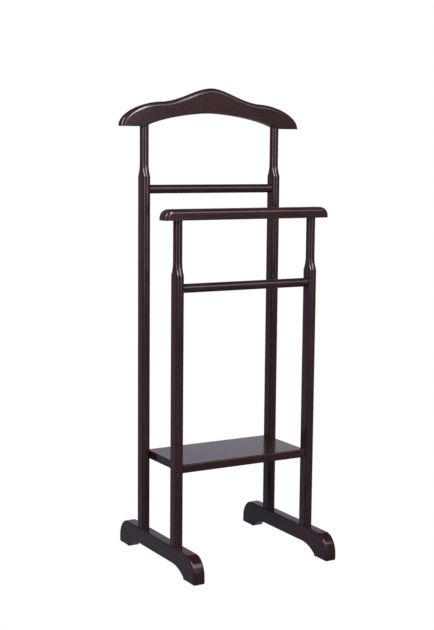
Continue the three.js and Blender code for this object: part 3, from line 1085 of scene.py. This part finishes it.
# Heights in the room, as the sine of the angle above level: the backdrop's foot and top, how
# much of it ends at its top, and the ceiling
BACKDROP_FOOT = (0.04, 0.20)
BACKDROP_TOP = (0.245, 0.305)
BACKDROP_TOP_LOSS = 0.8
CEILING_EDGE = (0.5, 0.75)

# The lamps: two strips, each of three lengths, one over the other, and a fill
LAMP_DISTANCE = 2.4
STRIP_WIDTH = 0.5
Strip = namedtuple("Strip", "name bearing high_brightness tint")
STRIPS = [
    Strip("left", bearing=-60, high_brightness=26, tint=(0.93, 0.96, 1.0)),
    Strip("right", bearing=13.5, high_brightness=19, tint=(0.98, 0.98, 1.0)),
]
STRIP_FOOT = {"height": 0.55, "tall": 0.4, "brightness": 2.4}
STRIP_LOW = {"height": 1.175, "tall": 0.85, "brightness": 5.0}
STRIP_HIGH = {"height": 3.0, "tall": 2.8}
FILL = {"bearing": 33, "height": 2.0, "width": 0.9, "tall": 1.2, "brightness": 3.0}
FILL_TINT = (0.94, 0.98, 1.0)


def place_camera():
    """Stands the camera where the photo was taken from."""
    ahead = Vector((
        math.sin(CAMERA_YAW) * math.cos(CAMERA_PITCH),
        math.cos(CAMERA_YAW) * math.cos(CAMERA_PITCH),
        math.sin(CAMERA_PITCH),
    ))
    level = Vector((math.cos(CAMERA_YAW), -math.sin(CAMERA_YAW), 0))
    above = level.cross(ahead)
    right = level * math.cos(CAMERA_ROLL) + above * math.sin(CAMERA_ROLL)
    up = above * math.cos(CAMERA_ROLL) - level * math.sin(CAMERA_ROLL)
    lens = bpy.data.cameras.new("camera")
    lens.lens = CAMERA_LENS
    lens.sensor_width = CAMERA_SENSOR
    camera = bpy.data.objects.new("camera", lens)
    turn = Matrix((right, up, -ahead)).transposed().to_4x4()
    camera.matrix_world = Matrix.Translation(CAMERA_PLACE) @ turn
    bpy.context.scene.collection.objects.link(camera)
    bpy.context.scene.camera = camera


def background_rays(finish, share):
    """1 for the camera's own rays, a share for those that glossy or clear surfaces send on."""
    path = finish.add("ShaderNodeLightPath", {}, {})
    camera = Value(finish, path.outputs["Is Camera Ray"])
    glossy = Value(finish, path.outputs["Is Glossy Ray"])
    through = Value(finish, path.outputs["Is Transmission Ray"])
    return (camera + (glossy + through) * share).at_most(1)


def lay_floor():
    """A pale floor, laid in the camera's direction. It is whitest away from the stand and keeps
    the stand's shadow under it, and the lacquer mirrors it most in front of the stand."""
    take(None)
    turn = (0, 0, -CAMERA_YAW)
    bpy.ops.mesh.primitive_plane_add(size=1, location=FLOOR_PLACE, rotation=turn, scale=FLOOR_SIZE)
    floor = settle(bpy.context.object, "pale_floor")
    finish = Finish(bpy.data.materials.new("pale_floor"))
    across, deep, _ = finish.parts(finish.place())
    away = finish.ramp((across * across + deep * deep) ** 0.5, *FLOOR_WHITENS)
    front = finish.ramp(deep, *FLOOR_FRONT)
    share = background_rays(finish, FLOOR_SHARE + front * FRONT_FLOOR_SHARE)
    share = share * (FLOOR_WHITE_NEAR + away * (1 - FLOOR_WHITE_NEAR))
    lit = finish.value("ShaderNodeBsdfDiffuse", {}, {"Color": FLOOR_PAINT})
    white = finish.value("ShaderNodeEmission", {}, {"Color": WHITE, "Strength": 1.0})
    seen = finish.value("ShaderNodeMixShader", {}, {0: share, 1: lit, 2: white})
    finish.add("ShaderNodeOutputMaterial", {}, {"Surface": seen})
    floor.data.materials.append(finish.holder)


def paint_studio():
    """A dim room with a paler wall at the left, a dark ceiling and a white backdrop."""
    world = bpy.data.worlds.new("studio")
    bpy.context.scene.world = world
    finish = Finish(world)
    direction = finish.value("ShaderNodeTexCoord", {}, {}, "Generated")
    across, deep, rise = finish.parts(direction)

    def toward(way, start, end):
        return finish.ramp(across * way[0] + deep * way[1], start, end)

    top_loss = finish.ramp(rise, *BACKDROP_TOP) * BACKDROP_TOP_LOSS
    height = finish.ramp(rise, *BACKDROP_FOOT) * (1 - top_loss)
    backdrop = toward(BACKDROP_WAY, *BACKDROP_SIDES) * height
    wall = finish.blend(toward(LEFT_WALL_WAY, *LEFT_WALL_SIDES), WALL, LEFT_WALL)
    walls = finish.blend(backdrop, wall, BACKDROP_SPILL)
    room = finish.blend(finish.ramp(rise, *CEILING_EDGE), walls, CEILING)
    seen_white = background_rays(finish, backdrop * BACKDROP_SHARE)
    shade = finish.blend(seen_white, room, WHITE)
    sky = finish.value("ShaderNodeBackground", {}, {"Color": shade, "Strength": 1.0})
    finish.add("ShaderNodeOutputWorld", {}, {"Surface": sky})


def softbox(name, bearing, height, width, tall, brightness, tint):
    """A soft lamp that faces the stand; its bearing is from the front, to the right."""
    lamp = bpy.data.lights.new(name, "AREA")
    lamp.shape = "RECTANGLE"
    lamp.size = width
    lamp.size_y = tall
    lamp.energy = brightness * math.pi * width * tall
    lamp.color = tint
    turn = math.radians(bearing)
    holder = bpy.data.objects.new(name, lamp)
    holder.location = (LAMP_DISTANCE * math.sin(turn), -LAMP_DISTANCE * math.cos(turn), height)
    holder.rotation_euler = (math.pi / 2, 0, turn)
    holder.visible_camera = False
    bpy.context.scene.collection.objects.link(holder)


def hang_lamps():
    """Two tall strips in front, dimmer towards the floor, and a weak fill at the right."""
    for strip in STRIPS:
        high = {**STRIP_HIGH, "brightness": strip.high_brightness}
        for part_name, part in (("foot", STRIP_FOOT), ("low", STRIP_LOW), ("high", high)):
            name = f"{strip.name}_strip_{part_name}"
            softbox(name, strip.bearing, width=STRIP_WIDTH, tint=strip.tint, **part)
    softbox("right_upper_fill", tint=FILL_TINT, **FILL)


make_stand()
finish_hidden_pieces()
place_camera()
lay_floor()
paint_studio()
hang_lamps()
bpy.context.scene.view_settings.view_transform = "Standard"
